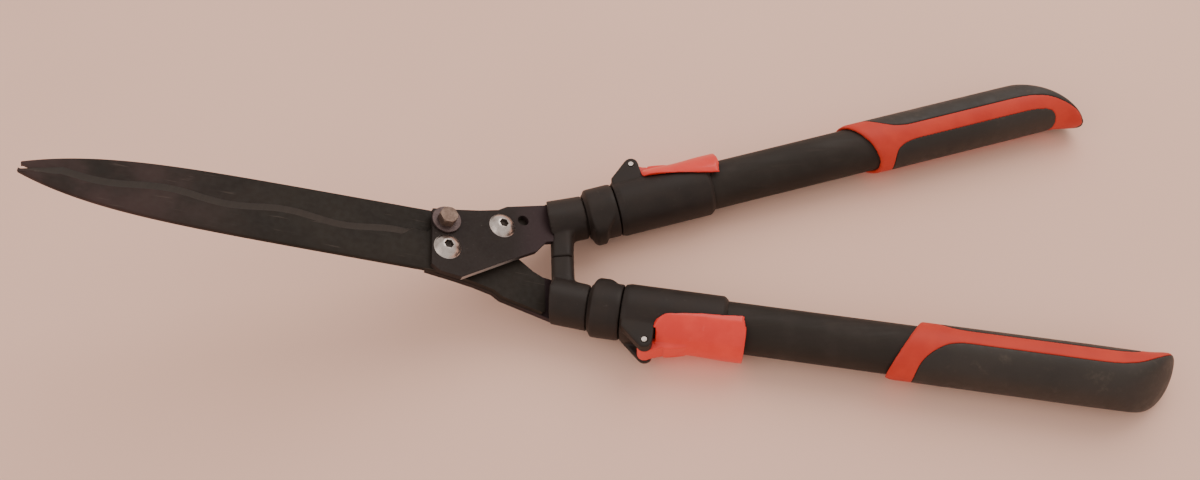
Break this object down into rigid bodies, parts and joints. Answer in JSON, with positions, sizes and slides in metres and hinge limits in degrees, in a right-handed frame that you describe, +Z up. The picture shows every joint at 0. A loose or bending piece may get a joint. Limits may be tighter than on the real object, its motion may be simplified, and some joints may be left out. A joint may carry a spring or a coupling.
{
  "type": "telescopic hedge shears",
  "caption": "Telescopic hedge shears with cranked wavy blades, stop arms, flip-lock levers and two-colour grips.",
  "frame": {"origin": "centre of the bounding box in X and Y, on the surface that the shears lie on", "axes": "+X from the blade tips to the grip ends, along the middle line; +Y to the handle of the upper blade; +Z up from the surface"},
  "size_m": [0.5775, 0.2162, 0.1416],
  "materials": {
    "blade_steel": "black non-stick coating, satin, ground bare along the wavy edge",
    "painted_steel": "black coated plate, bare at the sheared edges",
    "tube_steel": "black powder coat, satin",
    "black_plastic": "moulded nylon, fine texture",
    "orange_plastic": "moulded, semi-gloss",
    "orange_grip": "moulded, satin",
    "black_rubber": "soft thermoplastic rubber, matt",
    "zinc_steel": "bright zinc plate",
    "bronzed_bolt": "browned steel, satin"
  },
  "bodies": {
    "half_b": {"blade_b": "blade_steel", "tang_b": "painted_steel", "heel_bolt_b": "bronzed_bolt", "heel_washer_b": "bronzed_bolt", "tang_screw_b": "zinc_steel", "ferrule_b": "black_plastic", "tang_rivet_b": "zinc_steel", "stop_collar_b": "black_plastic", "inner_tube_b": "tube_steel", "tube_bush_b": "black_plastic"},
    "half_a": {"blade_a": "blade_steel", "tang_a": "painted_steel", "heel_bolt_a": "bronzed_bolt", "heel_washer_a": "bronzed_bolt", "tang_screw_a": "zinc_steel", "ferrule_a": "black_plastic", "tang_rivet_a": "zinc_steel", "stop_collar_a": "black_plastic", "inner_tube_a": "tube_steel", "tube_bush_a": "black_plastic", "pivot_screw": "zinc_steel", "pivot_nut": "zinc_steel"},
    "handle_a": {"clamp_housing_a": "black_plastic", "brake_shoe_a": "zinc_steel", "lever_pin_a": "zinc_steel", "outer_tube_a": "tube_steel", "grip_core_a": "orange_grip", "grip_pad_outer_a": "black_rubber", "grip_pad_inner_a": "black_rubber"},
    "handle_b": {"clamp_housing_b": "black_plastic", "brake_shoe_b": "zinc_steel", "lever_pin_b": "zinc_steel", "outer_tube_b": "tube_steel", "grip_core_b": "orange_grip", "grip_pad_outer_b": "black_rubber", "grip_pad_inner_b": "black_rubber"},
    "lever_a": {"lever_a": "orange_plastic"},
    "lever_b": {"lever_b": "orange_plastic"}
  },
  "joints": [
    {"name": "blade_pivot", "type": "hinge", "parent": "half_b", "child": "half_a", "pos_m": [-0.10025, -0.0059, 0.04768], "axis": [0.4384, 0, 0.8988], "range_deg": [0, 50]},
    {"name": "extend_a", "type": "slide", "parent": "half_a", "child": "handle_a", "axis": [0.9767, 0.2147, 0], "range_m": [0, 0.18]},
    {"name": "extend_b", "type": "slide", "parent": "half_b", "child": "handle_b", "axis": [0.9767, -0.2147, 0], "range_m": [0, 0.18]},
    {"name": "flip_a", "type": "hinge", "parent": "handle_a", "child": "lever_a", "pos_m": [0.00588, 0.05775, 0.0184], "axis": [0, 0, 1], "range_deg": [0, 105]},
    {"name": "flip_b", "type": "hinge", "parent": "handle_b", "child": "lever_b", "pos_m": [0.00588, -0.05775, 0.0184], "axis": [0, 0, -1], "range_deg": [0, 105]}
  ]
}
